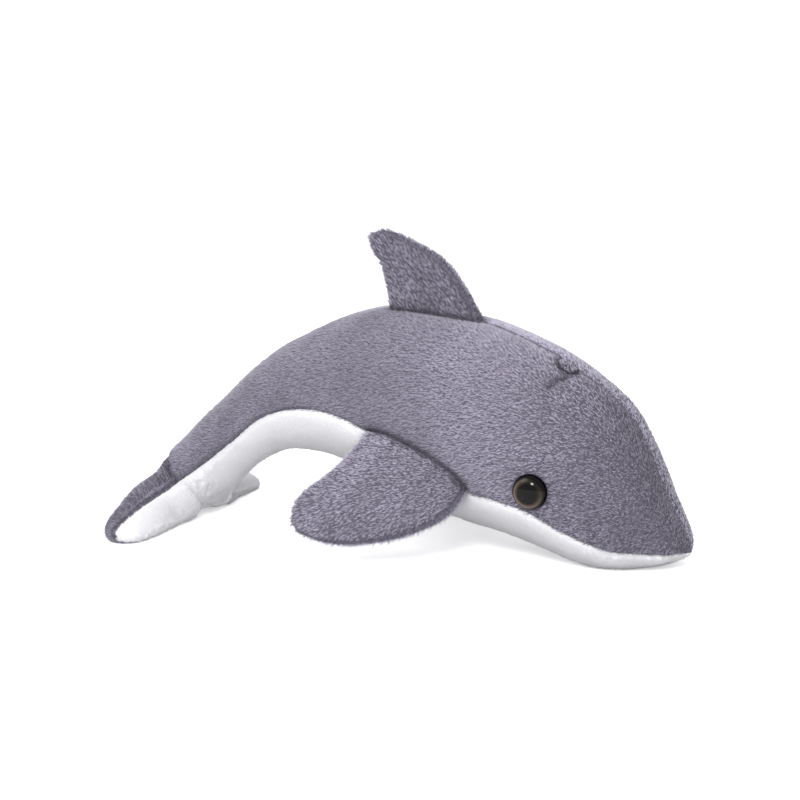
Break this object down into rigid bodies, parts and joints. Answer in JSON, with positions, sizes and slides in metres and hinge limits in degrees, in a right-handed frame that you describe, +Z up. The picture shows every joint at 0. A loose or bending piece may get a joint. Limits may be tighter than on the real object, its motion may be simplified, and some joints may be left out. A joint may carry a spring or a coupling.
{
  "type": "plush porpoise",
  "caption": "Stuffed plush porpoise with an arched grey back, white belly, dorsal fin, flippers, tail flukes and glossy eyes.",
  "frame": {"origin": "middle of the footprint, on the surface the toy lies on", "axes": "+X from the tail to the nose, +Y to the animal's left, +Z up"},
  "size_m": [0.2416, 0.1358, 0.1302],
  "materials": {
    "back_panel_left": "short grey pile",
    "back_panel_right": "short grey pile",
    "belly_panel": "short white pile",
    "body_stuffing": "loose fibre filling",
    "dorsal_fin_left_panel": "short grey pile",
    "dorsal_fin_right_panel": "short grey pile",
    "dorsal_fin_stuffing": "loose fibre filling",
    "flipper_right_upper_panel": "short grey pile",
    "flipper_right_lower_panel": "short grey pile",
    "flipper_right_stuffing": "loose fibre filling",
    "flipper_left_upper_panel": "short grey pile",
    "flipper_left_lower_panel": "short grey pile",
    "flipper_left_stuffing": "loose fibre filling",
    "flukes_top_panel": "short grey pile",
    "flukes_under_panel": "short white pile",
    "flukes_stuffing": "loose fibre filling",
    "eye_right": "glossy black",
    "eye_left": "glossy black",
    "eye_washer_right": "natural moulded",
    "eye_washer_left": "natural moulded",
    "blowhole": "short dark pile"
  },
  "bodies": {
    "root": {"back_panel_left": "back_panel_left", "back_panel_right": "back_panel_right", "belly_panel": "belly_panel", "body_stuffing": "body_stuffing", "dorsal_fin_left_panel": "dorsal_fin_left_panel", "dorsal_fin_right_panel": "dorsal_fin_right_panel", "dorsal_fin_stuffing": "dorsal_fin_stuffing", "flipper_right_upper_panel": "flipper_right_upper_panel", "flipper_right_lower_panel": "flipper_right_lower_panel", "flipper_right_stuffing": "flipper_right_stuffing", "flipper_left_upper_panel": "flipper_left_upper_panel", "flipper_left_lower_panel": "flipper_left_lower_panel", "flipper_left_stuffing": "flipper_left_stuffing", "flukes_top_panel": "flukes_top_panel", "flukes_under_panel": "flukes_under_panel", "flukes_stuffing": "flukes_stuffing", "eye_right": "eye_right", "eye_left": "eye_left", "eye_washer_right": "eye_washer_right", "eye_washer_left": "eye_washer_left", "blowhole": "blowhole"}
  },
  "joints": []
}
